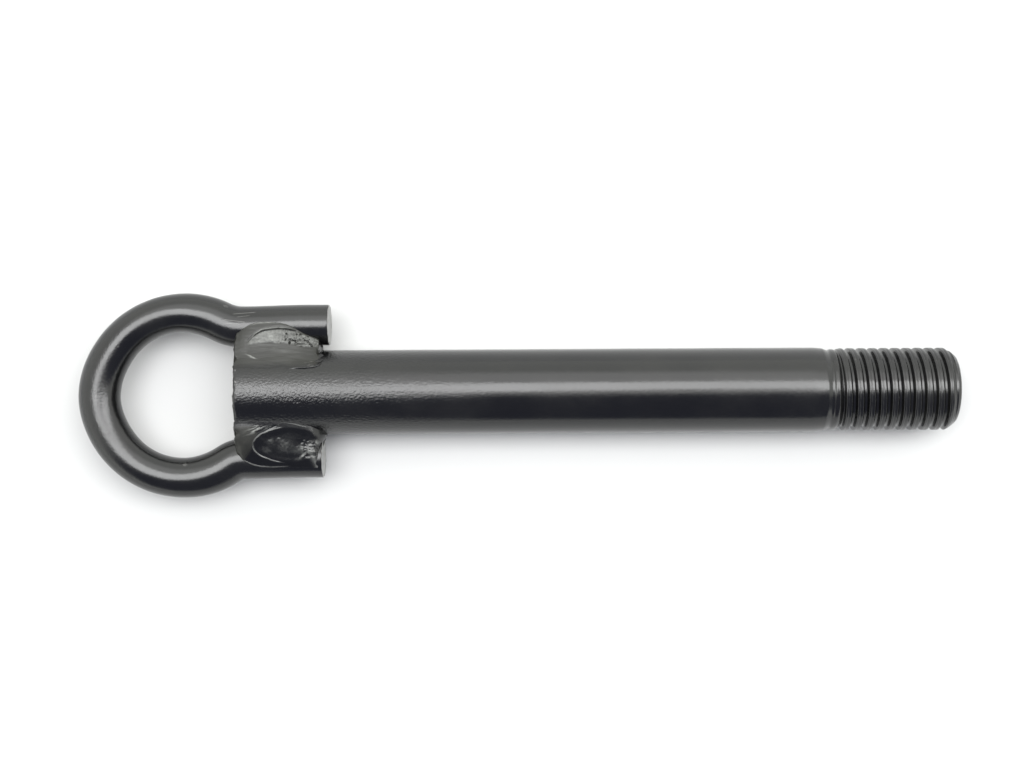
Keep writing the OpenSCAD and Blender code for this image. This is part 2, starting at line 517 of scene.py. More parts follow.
def build_shank(material):
    """The turned bar with its sheared end, neck and thread."""
    turn = np.arange(SHANK_AROUND) / SHANK_AROUND
    angle = turn * 2 * math.pi
    rows = shank_rows(turn)
    whole_turn = np.ones(SHANK_AROUND)
    x = np.array([row[0] * whole_turn for row in rows])
    radius = np.array([row[1] * whole_turn for row in rows])
    end_face = np.array([row[2] * whole_turn for row in rows])
    y = radius * np.cos(angle)
    z = radius * np.sin(angle)
    # The sheared end has a ragged rim, a slight dish and two notches on its upper side
    near_end = 1 - smooth(x, SHEARED_X + 1.2, SHEARED_X + 3.5)
    rim = smooth(radius, 7.5, 10.8)
    ragged = rough(0 * x, y, z, 3.2, 4, 7.1) * RIM_RAGGED * rim
    ragged = ragged + rough(0 * x, y, z, 1.0, 2, 3.4) * RIM_FINE
    notch = bell(y, LONG_LEG_NOTCH_Y, LONG_LEG_NOTCH_WIDTH)
    notch = notch + bell(y, -SHORT_LEG_NOTCH_Y, SHORT_LEG_NOTCH_WIDTH)
    notch = notch * smooth(z, 0.0, 2.0) * rim
    x = x + near_end * (ragged + DISH_DEPTH * rim + SHANK_NOTCH_DEPTH * notch)
    # A plain turned bar is never quite true
    plain_part = 1 - smooth(x, NECK_START_X - 1.5, NECK_START_X - 0.5)
    radius = radius + rough(x * 0.4, y, z, 9.0, 2, 1.3) * 0.02 * plain_part
    y = radius * np.cos(angle)
    z = radius * np.sin(angle)
    chips = smooth(rough(x, y, z, 1.1, 3, 5.0), 0.62, 0.8) * near_end * rim
    bare = np.clip(end_face * 0.06 + chips * 0.5, 0, 1)
    shank = ring_mesh("tow_shank", to_metres(x, y, z), {"bare": bare})
    place(shank, "shank", material)


# Eye bar

BAR_AROUND = 104
PATH_STEP = 0.6
# Rows of the flat of each cut face, as shares of the bar's radius, and its bevel
CUT_FACE_SCALES = (0.1, 0.3, 0.5, 0.7, 0.85)
CUT_BEVEL = 0.35
CUT_BEVEL_DEGREES = (0, 30, 60, 90)
CUT_ROWS = len(CUT_FACE_SCALES) + len(CUT_BEVEL_DEGREES)

# How far the bent bar runs outside a true ring at each angle, by hand bending
HAND_BENT = [
    (45, 0.0),
    (60, 0.15),
    (75, 0.05),
    (90, 0.05),
    (110, -0.15),
    (130, -0.3),
    (150, -0.35),
    (165, -0.05),
    (183, 0.2),
    (200, -0.1),
    (215, -0.25),
    (240, -0.2),
    (265, -0.12),
    (280, -0.02),
    (295, 0.0),
    (310, 0.0),
]

# How far each leg's end lies off its straight line, toward the longer leg's side
LONG_LEG_DRIFT = 0.4
SHORT_LEG_DRIFT = 0.25

# Half the bar's width in the plane of the eye at each angle of the ring
BAR_HALF_WIDTH = [
    (0, 5.35),
    (62, 5.5),
    (95, 5.1),
    (120, 5.12),
    (160, 5.48),
    (205, 5.5),
    (240, 5.3),
    (268, 5.28),
    (295, 5.5),
    (360, 5.35),
]

# A scuffed patch on top of the ring's nose, as its (x, y) and its size along each
SCUFF = ((RING_NOSE_X + 5.2, -0.6), (1.3, 1.3))
SCUFF_DEPTH = 0.13
HAMMER_DEPTH = 0.03
SHEAR_MARK_DEPTH = 0.1


def arc(cx, cy, radius, start, stop):
    """Points of an arc between two angles in degrees."""
    count = max(4, int(abs(math.radians(stop - start)) * radius / PATH_STEP))
    a = np.radians(np.linspace(start, stop, count, endpoint=False))
    return np.stack([cx + radius * np.cos(a), cy + radius * np.sin(a)], axis=1)


def leg(x_from, x_to, y):
    """Points of a straight leg."""
    count = int(abs(x_to - x_from) / PATH_STEP)
    xs = np.linspace(x_from, x_to, count, endpoint=False)
    return np.stack([xs, np.full(count, y)], axis=1)


def bend_middle(side, bend_r):
    """Angle, x and y of a bend's middle, drawn on the longer leg's side."""
    reach = RING_R + bend_r
    angle = math.degrees(math.asin((LEG_Y + side * RING_OFFSET + bend_r) / reach))
    a = math.radians(angle)
    return angle, reach * math.cos(a), reach * math.sin(a)


def bar_path():
    """Middle line of the bent bar about the ring's centre, shorter leg first."""
    long_angle, long_x, long_y = bend_middle(1, LONG_SIDE_BEND_R)
    short_angle, short_x, short_y = bend_middle(-1, SHORT_SIDE_BEND_R)
    long_leg_end = LONG_LEG_END_X - RING_X
    short_leg_end = SHORT_LEG_END_X - RING_X
    long_leg_y = long_y - LONG_SIDE_BEND_R
    short_leg_y = SHORT_SIDE_BEND_R - short_y
    path = np.concatenate(
        [
            leg(short_leg_end, short_x, short_leg_y),
            arc(short_x, -short_y, SHORT_SIDE_BEND_R, 90, 180 - short_angle),
            arc(0, 0, RING_R, 360 - short_angle, long_angle),
            arc(long_x, long_y, LONG_SIDE_BEND_R, 180 + long_angle, 270),
            leg(long_x, long_leg_end, long_leg_y),
            [[long_leg_end, long_leg_y]],
        ]
    )
    theta = np.degrees(np.arctan2(path[:, 1], path[:, 0])) % 360
    far = np.hypot(path[:, 0], path[:, 1])
    path = path * (1 + curve(theta, HAND_BENT) / far)[:, None]
    drift = np.where(path[:, 1] > 0, LONG_LEG_DRIFT, SHORT_LEG_DRIFT)
    path[:, 1] += drift * smooth(path[:, 0], 15, 33)
    return path, theta


def bar_rows(last):
    """Rows from end to end: point of the path, shift along it, share of the radius."""
    start = [(0, 0, scale) for scale in CUT_FACE_SCALES]
    for degrees in CUT_BEVEL_DEGREES:
        a = math.radians(degrees)
        shift = CUT_BEVEL * (1 - math.cos(a))
        start.append((0, shift, 1 - CUT_BEVEL / BAR_R * (1 - math.sin(a))))
    middle = [(i, 0, 1) for i in range(1, last)]
    stop = [(last, -shift, scale) for _, shift, scale in reversed(start)]
    return start + middle + stop


def build_eye(material):
    """The bent bar: ring, two bends and two legs, with a cut face at each end."""
    path, theta = bar_path()
    tangent = np.gradient(path, axis=0)
    tangent /= np.linalg.norm(tangent, axis=1)[:, None]
    outward = np.stack([-tangent[:, 1], tangent[:, 0]], axis=1)
    half_width = curve(theta, BAR_HALF_WIDTH)

    rows = bar_rows(len(path) - 1)
    at = np.array([row[0] for row in rows])
    shift = np.array([row[1] for row in rows])[:, None]
    scale = np.array([row[2] for row in rows])[:, None]
    a = np.arange(BAR_AROUND) / BAR_AROUND * 2 * math.pi
    centre = path[at] + tangent[at] * shift
    wide = half_width[at][:, None] * scale * np.cos(a)
    x = RING_X + centre[:, :1] + outward[at][:, :1] * wide
    y = -RING_OFFSET + centre[:, 1:] + outward[at][:, 1:] * wide
    z = BAR_R * scale * np.sin(a)
    cut_face = (scale < 0.97) * np.ones(BAR_AROUND)

    # Shear marks on the two cut faces
    ends = np.zeros((len(rows), 1))
    ends[:CUT_ROWS] = 1
    ends[-CUT_ROWS:] = -1
    x = x + ends * rough(0 * x, y, z, 1.6, 3, 2.0) * SHEAR_MARK_DEPTH

    # Faint hammer marks along the bar and the scuffed patch
    patch = spot(x, y, SCUFF) * (z > 0)
    scuff = rough(x, y, z, 0.5, 3, 4.0)
    push = -SCUFF_DEPTH * patch * np.abs(scuff)
    push = push + HAMMER_DEPTH * rough(x, y, z, 6.0, 2, 9.0)
    push = push * (1 - np.abs(ends))
    middle_x = RING_X + path[at][:, :1]
    middle_y = path[at][:, 1:] - RING_OFFSET
    away = np.stack([x - middle_x, y - middle_y, z], axis=-1)
    away /= np.maximum(np.linalg.norm(away, axis=-1, keepdims=True), 1e-6)
    x = x + away[..., 0] * push
    y = y + away[..., 1] * push
    z = z + away[..., 2] * push
    chips = smooth(scuff, 0.25, 0.6) * patch
    bare = np.clip(cut_face * 0.85 + chips * 0.3, 0, 1)
    eye = ring_mesh("tow_eye_bar", to_metres(x, y, z), {"bare": bare})
    place(eye, "eye_bar", material)


# Weld beads

# Rows at the square end and round the other end of a bead
HEAD_ROWS = 6
TAIL_ROWS = 14
# Length of a bead's section that its columns are spread over
SECTION_LENGTH = 16.0
# The bead's face stands this far over the two bars at its toes
TOE_LIFT = 0.025
# The hidden underside: its root between the two bars, and how far it sinks into them
ROOT_Y = (SHANK_R + LEG_Y - BAR_R) / 2
ROOT_Z = 1.0
ROOT_HALF_WIDTH = 0.5
SUNK_IN_BAR = 0.7
SUNK_IN_SHANK = 0.93
# How far the end inside the eye is set back: all of it, beside the shank, where it
# is notched, and beside the leg, and how ragged it is
SET_BACK = 0.3
WELD_NOTCH_DEPTH = 0.75
WELD_NOTCH_WIDTH = 0.9
LEG_SET_BACK = 0.3
RAGGED_DEPTH = 0.34


def bead_lines(bead):
    """Places along the bead and how full it is at each of them."""
    body_rows = int(bead.length / bead.step)
    head = np.linspace(0, math.pi / 2, HEAD_ROWS, endpoint=False)
    tail = np.linspace(0, math.pi / 2, TAIL_ROWS + 1)[1:]
    round_start = bead.length - bead.end_round
    xs = np.concatenate(
        [
            np.linspace(-0.5, 0, HEAD_ROWS, endpoint=False),
            np.linspace(0, round_start, body_rows),
            round_start + bead.end_round * np.sin(tail),
        ]
    )
    fullness = np.concatenate(
        [
            0.82 + 0.18 * np.sin(head),
            np.ones(body_rows),
            np.maximum(np.cos(tail), 0.04) ** 0.8,
        ]
    )
    return xs, fullness[:, None]


def toe_lines(bead, xs):
    """The (y, z) of the bead's toe on the shank and of its toe on the bar."""
    s_y = np.clip(curve(xs, bead.shank_toe), 0.5, SHANK_R - 0.02)
    b_y = np.clip(curve(xs, bead.bar_toe), LEG_Y - BAR_R + 0.02, LEG_Y + BAR_R - 0.5)
    on_shank = np.stack([s_y, np.sqrt(SHANK_R**2 - s_y**2)], axis=1)
    on_bar = np.stack([b_y, np.sqrt(BAR_R**2 - (b_y - LEG_Y) ** 2)], axis=1)
    return on_shank, on_bar


def bead_face(bead, xs, on_shank, on_bar):
    """The seen face, v running over it from 0 at the shank to 1 at the bar."""
    inner_v = np.linspace(0.008, 0.992, int(SECTION_LENGTH / bead.step))
    v = np.concatenate([[0, 0.002], inner_v, [0.998, 1]])[None, :]
    across = on_bar - on_shank
    width = np.linalg.norm(across, axis=1)
    up = np.stack([-across[:, 1], across[:, 0]], axis=1) / width[:, None]
    arch = bead.profile(v)
    x = xs[:, None] * np.ones_like(v)
    y = on_shank[:, :1] + across[:, :1] * v + up[:, :1] * arch
    z = on_shank[:, 1:] + across[:, 1:] * v + up[:, 1:] * arch
    height, crust_and_painted_highlights, gloss_and_painted_shade = bead.detail(x, y, v)
    lift = height * within(v, 0, 0.02, 0.97, 1.0) + TOE_LIFT
    return x, y + up[:, :1] * lift, z + up[:, 1:] * lift, crust_and_painted_highlights, gloss_and_painted_shade


def bead_underside(on_shank, on_bar):
    """The y and z of the four hidden points that close each section."""
    same = np.ones(len(on_bar))
    under_bar_y = LEG_Y + (on_bar[:, 0] - LEG_Y) * SUNK_IN_BAR
    under_shank_y = on_shank[:, 0] * SUNK_IN_SHANK
    root_ys = [same * (ROOT_Y + ROOT_HALF_WIDTH), same * (ROOT_Y - ROOT_HALF_WIDTH)]
    root_zs = [same * ROOT_Z, same * ROOT_Z]
    under_y = np.stack([under_bar_y, *root_ys, under_shank_y], axis=1)
    under_bar_z = on_bar[:, 1] * SUNK_IN_BAR
    under_shank_z = on_shank[:, 1] * SUNK_IN_SHANK
    under_z = np.stack([under_bar_z, *root_zs, under_shank_z], axis=1)
    return under_y, under_z


def end_shift(bead, x, y, z):
    """How far the ragged end inside the eye and the far end are set along x."""
    back = SET_BACK + WELD_NOTCH_DEPTH * bell(y, bead.notch_y, WELD_NOTCH_WIDTH)
    back = back + LEG_SET_BACK * smooth(y, 12.0, 14.5)
    back = back + RAGGED_DEPTH * rough(0 * x, y, z, 2.0, 3, 6.0)
    near_eye = 1 - smooth(x, 0.0, 2.2)
    far = smooth(x, bead.length - 3.6, bead.length)
    return back * near_eye - bead.draw_back(y) * far


def weld_body(name, bead, side, face):
    """A bead in the groove between the shank and a leg.

    Side 1 is at the longer leg, and face 1 is the upper side of the eye.
    """
    xs, fullness = bead_lines(bead)
    on_shank, on_bar = toe_lines(bead, xs)
    x, y, z, crust_and_painted_highlights, gloss_and_painted_shade = bead_face(bead, xs, on_shank, on_bar)
    under_y, under_z = bead_underside(on_shank, on_bar)
    x = np.concatenate([x, xs[:, None] * np.ones((1, under_y.shape[1]))], axis=1)
    y = np.concatenate([y, under_y], axis=1)
    z = np.concatenate([z, under_z], axis=1)
    crust_and_painted_highlights = np.concatenate([crust_and_painted_highlights, np.zeros_like(under_y)], axis=1)
    gloss_and_painted_shade = np.concatenate([gloss_and_painted_shade, np.zeros_like(under_y)], axis=1)
    # The two ends close in about the root
    y = ROOT_Y + (y - ROOT_Y) * fullness
    z = ROOT_Z + (z - ROOT_Z) * fullness
    x = x + end_shift(bead, x, y, z)
    points = to_metres(SHEARED_X + x, side * y, face * z)
    return ring_mesh(name, points, {"crust_and_painted_highlights": crust_and_painted_highlights, "gloss_and_painted_shade": gloss_and_painted_shade})


# Outline of the island of scale on the longer leg's front bead, as (x, y)
ISLAND_TOP = [
    (3.4, 12.9),
    (4.9, 14.5),
    (5.8, 15.35),
    (7.2, 16.1),
    (9.3, 16.6),
    (11.9, 16.75),
    (14.2, 16.6),
    (16.2, 16.1),
    (18.7, 15.05),
    (20.7, 14.35),
    (22.4, 13.5),
]
ISLAND_LOW = [
    (3.4, 12.6),
    (5.7, 13.0),
    (8.0, 13.45),
    (11.5, 13.05),
    (13.5, 13.1),
    (15.5, 12.7),
    (17.6, 12.3),
    (19.2, 12.0),
    (22.0, 12.1),
]


# Marks on that bead, each as its (x, y) and its size along each
ISLAND_PITS = [((14.8, 13.95), (0.4, 0.25)), ((17.2, 12.75), (1.2, 0.16))]
ISLAND_TICKS = ((13.4, 14.7), (0.9, 0.6))
CLEFT = ((22.0, 10.9), (0.45, 0.8))
CLEFT_DEPTH = 0.9
STAIN = ((13.4, 10.9), (1.3, 0.5))

# Two glints near its end inside the eye, painted highlights laid on as pale colour, each as its
# middle and its slope
GLINTS = [((4.4, 9.75), -0.35), ((5.2, 9.25), -0.3)]
GLINT_LENGTH = 0.8
GLINT_WIDTH = 0.13

# The crack along the island's top and the ridge beyond it, which gets a painted highlight
CRACK_DEPTH = 0.45
CRACK_WIDTH = 0.15
RIDGE_BEYOND = 0.38
RIDGE_HEIGHT = 0.2
RIDGE_WIDTH = 0.17


def island_mask(x, y, top_edge, wander):
    """1 on the island of scale, with a wandering lower edge."""
    low_edge = curve(x, ISLAND_LOW)
    inside = smooth(y, low_edge - 0.2 + wander, low_edge + 0.25 + wander)
    inside = inside * (1 - smooth(y, top_edge - 0.15, top_edge + 0.05))
    return inside * within(x, 3.4, 4.4, 21.8, 22.5)


def island_scale(x, y, wander):
    """Height and paleness of the island's crumbs, and how dark its breaks are."""
    crumbs = rough_from_above(x * 0.3, y, 0.8, 4, 2.0)
    broken = smooth(x, 10.5, 14.5)
    seam = np.abs(rough_from_above(x * 1.3, y * 0.8, 1.1, 3, 3.0))
    split = (1 - smooth(seam, 0.0, 0.1)) * broken
    pits = smooth(rough_from_above(x, y, 1.0, 2, 17.0), 0.3, 0.42) * broken
    for mark in ISLAND_PITS:
        pits = np.maximum(pits, spot(x, y, mark))
    ticks = smooth(np.sin(x * 9.0 + 3 * wander), 0.4, 0.9) * spot(x, y, ISLAND_TICKS)
    height = 0.1 + 0.05 * crumbs - 0.25 * split - 0.5 * pits - 0.15 * ticks
    pale = np.clip(0.4 + 0.16 * bell(x, 9.0, 3.2) + 0.25 * crumbs, 0, 1)
    dark = np.clip(split + pits + 0.8 * ticks, 0, 1)
    return height, pale, dark


def crack_and_ridge(x, y, crack_line):
    """Masks of the crack along the island's top and of the ridge beyond it."""
    along = within(x, 4.6, 6.0, 15.0, 17.0)
    crack = bell(y, crack_line, CRACK_WIDTH) * along
    ridge = bell(y, crack_line + RIDGE_BEYOND, RIDGE_WIDTH) * along
    return crack, ridge


def long_leg_detail(x, y, v):
    """Smooth olive pad, then a crusted island behind a crack, then a smooth flow."""
    top_edge = curve(x, ISLAND_TOP)
    wander = rough_from_above(x, y, 2.2, 3, 1.0) * 0.25
    inside = island_mask(x, y, top_edge, wander)
    scale_height, pale, dark = island_scale(x, y, wander)
    crack, ridge = crack_and_ridge(x, y, top_edge + 0.03 + 0.3 * wander)
    # The pad runs down the end inside the eye and on as a band round the island
    band = smooth(y, top_edge + 0.5, top_edge + 0.9)
    pad = np.maximum(band, (1 - smooth(x, 2.8, 3.9)) * smooth(y, 9.0, 12.0))
    # The flow has faint streaks, two painted glints and a raised lip at its far end
    flow = rough_from_above(x * 0.2, y, 1.0, 3, 8.0)
    glint = sum(streak(x, y, *line, GLINT_LENGTH, GLINT_WIDTH) for line in GLINTS)
    lip = smooth(x, 14.5, 18.0) * (1 - smooth(v, 0.03, 0.3))

    height = inside * scale_height - CRACK_DEPTH * crack + RIDGE_HEIGHT * ridge
    height = height + 0.16 * pad - CLEFT_DEPTH * spot(x, y, CLEFT)
    height = height + 0.035 * flow * (1 - inside) + 0.1 * glint + 0.32 * lip

    streaks = smooth(flow, 0.0, 0.6) * bell(y, 11.9, 1.0) * (1 - smooth(x, 8, 14))
    crust_and_painted_highlights = inside * (1 - dark) * pale
    crust_and_painted_highlights = np.maximum(crust_and_painted_highlights, 0.12 * spot(x, y, STAIN) + 0.12 * streaks)
    # A painted highlight along the toe on the bar
    outer_edge_highlight = bell(v, 0.98, 0.014) * bell(x, 7.5, 3.5)
    ridge_shine = (0.55 + 0.45 * bell(x, 6.5, 1.5)) * (1 - smooth(x, 12.5, 15.0) * 0.6)
    # The glints, the ridge's shine and the outer edge are painted highlights in pale colour
    crust_and_painted_highlights = crust_and_painted_highlights + glint + ridge * ridge_shine + 0.8 * outer_edge_highlight

    at_shank = 1 - smooth(v, 0.02, 0.24)
    # The crack, the island's breaks and the end under the leg's end are painted darker here:
    # painted shade
    gloss_and_painted_shade = 0.1 + 0.7 * crack + 0.58 * at_shank + 0.4 * dark * inside
    gloss_and_painted_shade = gloss_and_painted_shade + 0.9 * smooth(x, 21.8, 22.8)
    return height, np.clip(crust_and_painted_highlights, 0, 1), np.clip(gloss_and_painted_shade, 0, 1)


# The crater in the shorter leg's front bead: its middle and its half lengths
CRATER_MIDDLE = (14.5, 13.75)
CRATER_HALF = (9.75, 4.85)

# The bead's outer rim and the line along its shank toe, as (x, y); each carries a painted
# highlight
OUTER_RIM = [(1.0, 16.8), (2.9, 18.0), (4.7, 18.9), (6.9, 19.4), (9.7, 19.55), (14.0, 19.4)]
TOP_LINE = [(8.0, 7.5), (12.0, 7.7), (15.2, 8.05), (18.1, 8.9), (24.0, 10.6)]


# Soft lumps in the crater, each as a mark, its height and its share of crust
CRATER_LUMPS = [
    (((9.4, 12.6), (1.0, 0.8)), 0.12, 0.28),
    (((8.2, 14.9), (1.3, 0.8)), 0.08, 0.16),
    (((16.6, 15.0), (1.5, 1.1)), 0.12, 0.16),
]
GRAINY_LUMP = ((13.3, 13.9), (1.9, 1.7))

# Marks at the torn far end, each as its (x, y) and its size along each; the torn and last bits
# are painted glints
TORN_LUMP = ((19.4, 15.0), (1.3, 1.1))
TORN_BITS = ((19.3, 14.8), (1.6, 1.2))
LAST_BITS = ((22.0, 13.3), (1.0, 0.6))
KNOBS = ((23.9, 10.6), (0.6, 1.2))

# Two groups of slanting streaks, with y measured along the slant
STREAK_SLANT = 0.37
NEAR_STREAKS = ((5.9, 11.6), (1.9, 0.8))
FAR_STREAKS = ((10.0, 12.8), (1.8, 0.5))


def crater(x, y, radial):
    """Height and colour of the crater: its rim with a painted highlight, its soft lumps and its
    folds.
    """
    patchy = 0.6 + 0.9 * rough_from_above(x, y, 1.8, 2, 31.0)
    rim = bell(radial, 0.985, 0.016) * (1 - smooth(x, 10.5, 13.5))
    inner = 1 - smooth(radial, 0.6, 0.98)
    fold = rough_from_above(x * 0.6, y, 1.6, 3, 11.0)
    height = 0.17 * rim - 0.3 * inner + 0.04 * fold * inner
    # The rim's pale line is a painted highlight
    crust_and_painted_highlights = 0.7 * rim * patchy
    drift = rough_from_above(x, y, 1.3, 2, 9.0)
    bent_x = x + 0.9 * drift
    bent_y = y + 0.7 * drift
    for mark, rise, share in CRATER_LUMPS:
        lump = spot(bent_x, bent_y, mark)
        height = height + rise * lump
        crust_and_painted_highlights = crust_and_painted_highlights + share * lump * patchy
    grain = rough_from_above(x, y, 0.5, 2, 12.0)
    grainy = spot(bent_x, bent_y, GRAINY_LUMP)
    height = height + (0.14 + 0.01 * grain) * grainy
    crust_and_painted_highlights = crust_and_painted_highlights + (0.16 + 0.12 * grain) * grainy
    return height, crust_and_painted_highlights


def torn_end(x, y):
    """Height and colour of the torn metal and pits at the bead's far end, with painted glints on
    the torn metal.
    """
    torn = smooth(x, 17.2, 18.2) * within(y, 12.2, 13.2, 16.6, 17.6)
    tears = rough_from_above(x, y * 1.3, 1.5, 3, 13.0)
    groove = bell(x, 22.4 + 0.3 * (y - 15), 0.45) * smooth(y, 13.5, 15)
    height = 0.22 * torn * tears + 0.35 * spot(x, y, TORN_LUMP) - 0.15 * groove
    crust_and_painted_highlights = 0.8 * smooth(tears, -0.15, 0.2) * spot(x, y, TORN_BITS)
    crust_and_painted_highlights = crust_and_painted_highlights + 0.6 * smooth(tears, -0.1, 0.2) * spot(x, y, LAST_BITS)
    crust_and_painted_highlights = crust_and_painted_highlights + 0.5 * smooth(tears, 0.0, 0.2) * spot(x, y, KNOBS)
    crust_and_painted_highlights = crust_and_painted_highlights + 0.7 * streak(x, y, (18.2, 16.2), -0.9, 1.0, 0.35)
    wedge = bell(x, 20.3 + 0.5 * (y - 16.2), 0.9) * smooth(y, 15.6, 16.8)
    return height, crust_and_painted_highlights + 0.36 * wedge


def slanting_streaks(x, y):
    """Height and crust of the streaks above the crater's rim."""
    slant_y = y + STREAK_SLANT * x
    comb = rough_from_above(x * 0.22, slant_y, 0.42, 2, 5.0)
    near = spot(x, slant_y, NEAR_STREAKS)
    far = spot(x, slant_y, FAR_STREAKS)
    height = 0.1 * comb * (near + 0.6 * far)
    crust_and_painted_highlights = 1.1 * smooth(comb, 0.02, 0.22) * (near + 0.4 * far)
    return height, crust_and_painted_highlights


def edge_lines(x, y):
    """Height of the outer rim and of the line along the shank toe, with a painted highlight along
    each.
    """
    outer = bell(y, curve(x, OUTER_RIM), 0.12) * within(x, 1.8, 3.0, 11, 15)
    line = bell(y, curve(x, TOP_LINE), 0.12) * within(x, 10, 13, 18.5, 19.5)
    return 0.12 * outer + 0.02 * line, 0.4 * outer + 0.3 * line * bell(x, 16.7, 2.2)


def short_leg_detail(x, y, v):
    """Glossy dark crater with a thin rim, torn at its far end, and a matt left pad."""
    run = (x - CRATER_MIDDLE[0]) / CRATER_HALF[0]
    across = (y - CRATER_MIDDLE[1]) / CRATER_HALF[1]
    wobble = 0.02 * rough_from_above(x, y, 3.0, 2, 4.0)
    radial = np.sqrt(np.abs(run) ** 1.7 + across**2) + wobble
    features = [crater(x, y, radial), torn_end(x, y), slanting_streaks(x, y), edge_lines(x, y)]
    slope_in = x + 0.8 * np.clip(y - 13.0, 0, 9)
    pad = (1 - smooth(slope_in, 4.2, 8.0)) * smooth(y, 7.8, 9.6) * smooth(radial, 0.97, 1.04)
    height = sum(f[0] for f in features) + 0.08 * pad
    crust_and_painted_highlights = sum(f[1] for f in features)
    return height, np.clip(crust_and_painted_highlights, 0, 1), np.clip(1 - 0.95 * pad, 0, 1)


RIPPLE_PITCH = 1.45
RIPPLE_HEIGHT = 0.09
RIPPLE_BOW = 1.6


def back_detail(x, y, v):
    """Plain rippled bead."""
    bow = x + RIPPLE_BOW * (2 * v - 1) ** 2
    wander = rough_from_above(x, y, 4.0, 2, 21.0)
    height = RIPPLE_HEIGHT * np.sin(bow * 2 * math.pi / RIPPLE_PITCH + wander) + 0.12 * wander
    crust_and_painted_highlights = 0.35 * smooth(rough_from_above(x, y, 1.8, 3, 22.0), 0.15, 0.7)
    return height, crust_and_painted_highlights, 0.5 + 0 * x


# Each kind of bead. shank_toe and bar_toe are the y of its toes at each x, profile
# is its rise over a flat face, and draw_back is how far its far end draws back at y

LONG_LEG_BEAD = SimpleNamespace(
    length=25.2,
    end_round=3.0,
    step=0.14,
    shank_toe=[(-1, 6.3), (18, 6.2), (21.0, 6.4), (22.9, 7.0), (24.2, 8.4), (25.0, 9.8)],
    bar_toe=[
        (-1, 15.5),
        (0.9, 16.2),
        (2.9, 17.3),
        (4.2, 18.1),
        (6.5, 18.65),
        (9.1, 18.75),
        (11.4, 18.55),
        (13.4, 18.1),
        (15.3, 17.3),
        (17.0, 16.2),
        (18.7, 15.2),
        (20.7, 14.5),
        (22.4, 13.7),
        (25.0, 12.6),
    ],
    profile=lambda v: -0.75 * np.sin(math.pi * v) * (1 - v),
    draw_back=lambda y: 2.3 * smooth(y, 9.6, 10.8),
    notch_y=LONG_LEG_NOTCH_Y,
    detail=long_leg_detail,
)
SHORT_LEG_BEAD = SimpleNamespace(
    length=24.0,
    end_round=2.0,
    step=0.14,
    shank_toe=[(-1, 7.6), (4, 7.3), (12, 7.6), (17, 8.2), (20, 8.8), (22, 9.8), (24, 10.8)],
    bar_toe=[
        (-1, 15.6),
        (1.2, 17.1),
        (2.9, 18.4),
        (4.5, 19.2),
        (6.4, 19.7),
        (14, 19.7),
        (22.5, 19.9),
        (24, 17.5),
    ],
    profile=lambda v: 0.5 * 4 * v * (1 - v),
    draw_back=lambda y: 1.1 * smooth(y, 11.0, 13.5),
    notch_y=SHORT_LEG_NOTCH_Y,
    detail=short_leg_detail,
)
BACK_BEAD = SimpleNamespace(
    length=19.0,
    end_round=2.0,
    step=0.2,
    shank_toe=[(-1, 8.5), (12.5, 8.5), (16.0, 9.3), (19.0, 10.9)],
    bar_toe=[(-1, 18.1), (12.5, 18.1), (16.0, 16.8), (19.0, 13.4)],
    profile=lambda v: 0.9 * 4 * v * (1 - v),
    draw_back=lambda y: 0 * y,
    notch_y=9.5,
    detail=back_detail,
)

# Name, shape, side and face of each bead
WELDS = [
    ("front_long_leg", LONG_LEG_BEAD, 1, 1),
    ("front_short_leg", SHORT_LEG_BEAD, -1, 1),
    ("back_long_leg", BACK_BEAD, 1, -1),
    ("back_short_leg", BACK_BEAD, -1, -1),
]


def build_welds(material):
    """The four beads in the grooves between the shank and the two legs."""
    for name, bead, side, face in WELDS:
        weld = weld_body("weld_bead_" + name, bead, side, face)
        place(weld, "weld_" + name, material)


# Floor, light and camera, in metres

FLOOR_RADII = (0.02, 0.1, 0.3, 0.8, 2.0, 5.0, 9.0)
FLOOR_THICKNESS = 0.05
FLOOR_TONES = ((0.51, 0.51, 0.508), (0.53, 0.53, 0.528))

# The surround's colours, and each region's direction and angles in degrees
WALL = (1.55, 1.58, 1.52)
CEILING = (2.7, 2.72, 2.68)
CEILING_TOWARD = (0.0, 0.35, 0.94)
CEILING_EDGE = (38, 24)
DARK = (0.16, 0.17, 0.25)
DARK_TOWARD = (0.12, -0.72, 0.68)
DARK_EDGE = (46, 31)
# The dark side is wider along the shank than across it
DARK_SQUEEZE = (0.6, 1.0, 1.0)

# Overhead panels: low X, high X, low Y, high Y at the panels' height, and radiance
PANEL_HEIGHT = 1.5
PANEL_COLOUR = (0.985, 0.992, 1.0)
PANELS = {
    "panel_left": (-0.85, -0.21, -0.28, 0.58, 5.9),
    "panel_slant": (-0.21, -0.10, -0.12, 0.59, 5.7),
    "panel_middle": (-0.10, 0.12, -0.01, 0.62, 5.0),
    "panel_gap": (0.12, 0.40, 0.08, 0.64, 4.6),
    "panel_right": (0.40, 1.90, -0.04, 0.64, 5.9),
}

# The camera looks straight down. Its focal length is in pixels of the photo
FOCAL_PX = 1600.0
FRAME_PX = 1024.0
SENSOR_MM = 36.0
CAMERA_HEIGHT_MM = 437.7
CAMERA_X_MM = -1.2
CAMERA_BACK_MM = 1.93
CAMERA_ROLL_DEG = 0.334


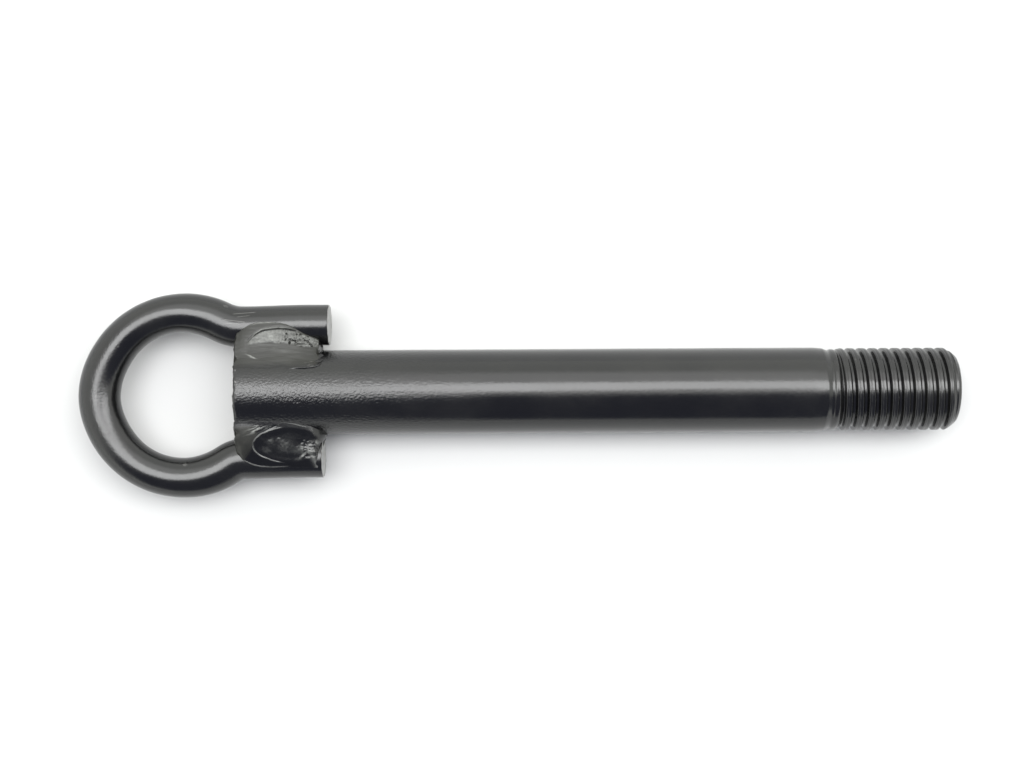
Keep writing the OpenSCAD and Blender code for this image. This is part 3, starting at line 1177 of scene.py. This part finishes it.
def build_floor():
    """A wide pale table top."""
    a = np.arange(96) / 96 * 2 * math.pi
    circle = np.stack([np.cos(a), np.sin(a), 0 * a], axis=1)
    rings = [radius * circle for radius in FLOOR_RADII]
    rings.append(rings[-1] - [0, 0, FLOOR_THICKNESS])
    floor = ring_mesh("floor", np.array(rings), {})
    material, nodes, shader, where = new_material("pale_table")
    cloud = nodes.noise(where, 6, 3, 0.5)
    tone = nodes.mix(nodes.span(cloud, 0.3, 0.7), *FLOOR_TONES)
    nodes.link(tone, shader.inputs["Base Color"])
    shader.inputs["Roughness"].default_value = 0.6
    shader.inputs["Specular IOR Level"].default_value = 0.2
    floor.data.materials.append(material)


def region(nodes, direction, toward, edge_degrees):
    """1 inside a cone about a direction, with a soft edge between two angles."""
    outer, inner = (math.cos(math.radians(degrees)) for degrees in edge_degrees)
    nearness = nodes.vector_math("DOT_PRODUCT", direction, Vector(toward).normalized())
    return nodes.span(nearness["Value"], outer, inner)


def build_world():
    """Soft studio surround: pale walls, a brighter ceiling, one dark side."""
    world = bpy.data.worlds.new("studio")
    bpy.context.scene.world = world
    world.use_nodes = True
    nodes = Nodes(world.node_tree)
    background = world.node_tree.nodes["Background"]
    direction = nodes.add("ShaderNodeTexCoord").outputs["Generated"]
    squeezed = nodes.vector_math("MULTIPLY", direction, DARK_SQUEEZE)["Vector"]
    squeezed = nodes.vector_math("NORMALIZE", squeezed)["Vector"]
    ceiling = region(nodes, direction, CEILING_TOWARD, CEILING_EDGE)
    dark = region(nodes, squeezed, DARK_TOWARD, DARK_EDGE)
    surround = nodes.mix(dark, nodes.mix(ceiling, WALL, CEILING), DARK)
    nodes.link(surround, background.inputs["Color"])
    background.inputs["Strength"].default_value = 1.0


def build_panels():
    """The bright overhead panels that draw the long highlights."""
    for name, (x_low, x_high, y_low, y_high, radiance) in PANELS.items():
        light = bpy.data.lights.new(name, "AREA")
        light.shape = "RECTANGLE"
        light.size = x_high - x_low
        light.size_y = y_high - y_low
        light.energy = radiance * math.pi * light.size * light.size_y
        light.color = PANEL_COLOUR
        lamp = bpy.data.objects.new(name, light)
        lamp.location = ((x_low + x_high) / 2, (y_low + y_high) / 2, PANEL_HEIGHT)
        bpy.context.scene.collection.objects.link(lamp)


def build_camera():
    """Looks straight down from where the photo was taken."""
    camera = bpy.data.cameras.new("camera")
    camera.sensor_width = SENSOR_MM
    camera.lens = FOCAL_PX / FRAME_PX * SENSOR_MM
    camera.clip_start = 0.01
    camera.clip_end = 50
    holder = bpy.data.objects.new("camera", camera)
    holder.location = (CAMERA_X_MM * MM, (AXIS_Y + CAMERA_BACK_MM) * MM, CAMERA_HEIGHT_MM * MM)
    holder.rotation_euler = (0, 0, -math.radians(CAMERA_ROLL_DEG))
    bpy.context.scene.collection.objects.link(holder)
    bpy.context.scene.camera = holder


build_camera()
build_world()
build_panels()
build_floor()
build_shank(coat_material("shank_coat", SHANK_SATIN, SHANK_GRAIN, []))
build_eye(coat_material("bar_coat", BAR_SATIN, BAR_GRAIN, LEG_SCRATCHES))
build_welds(weld_material("weld_coat"))

bpy.context.scene.view_settings.view_transform = "Standard"
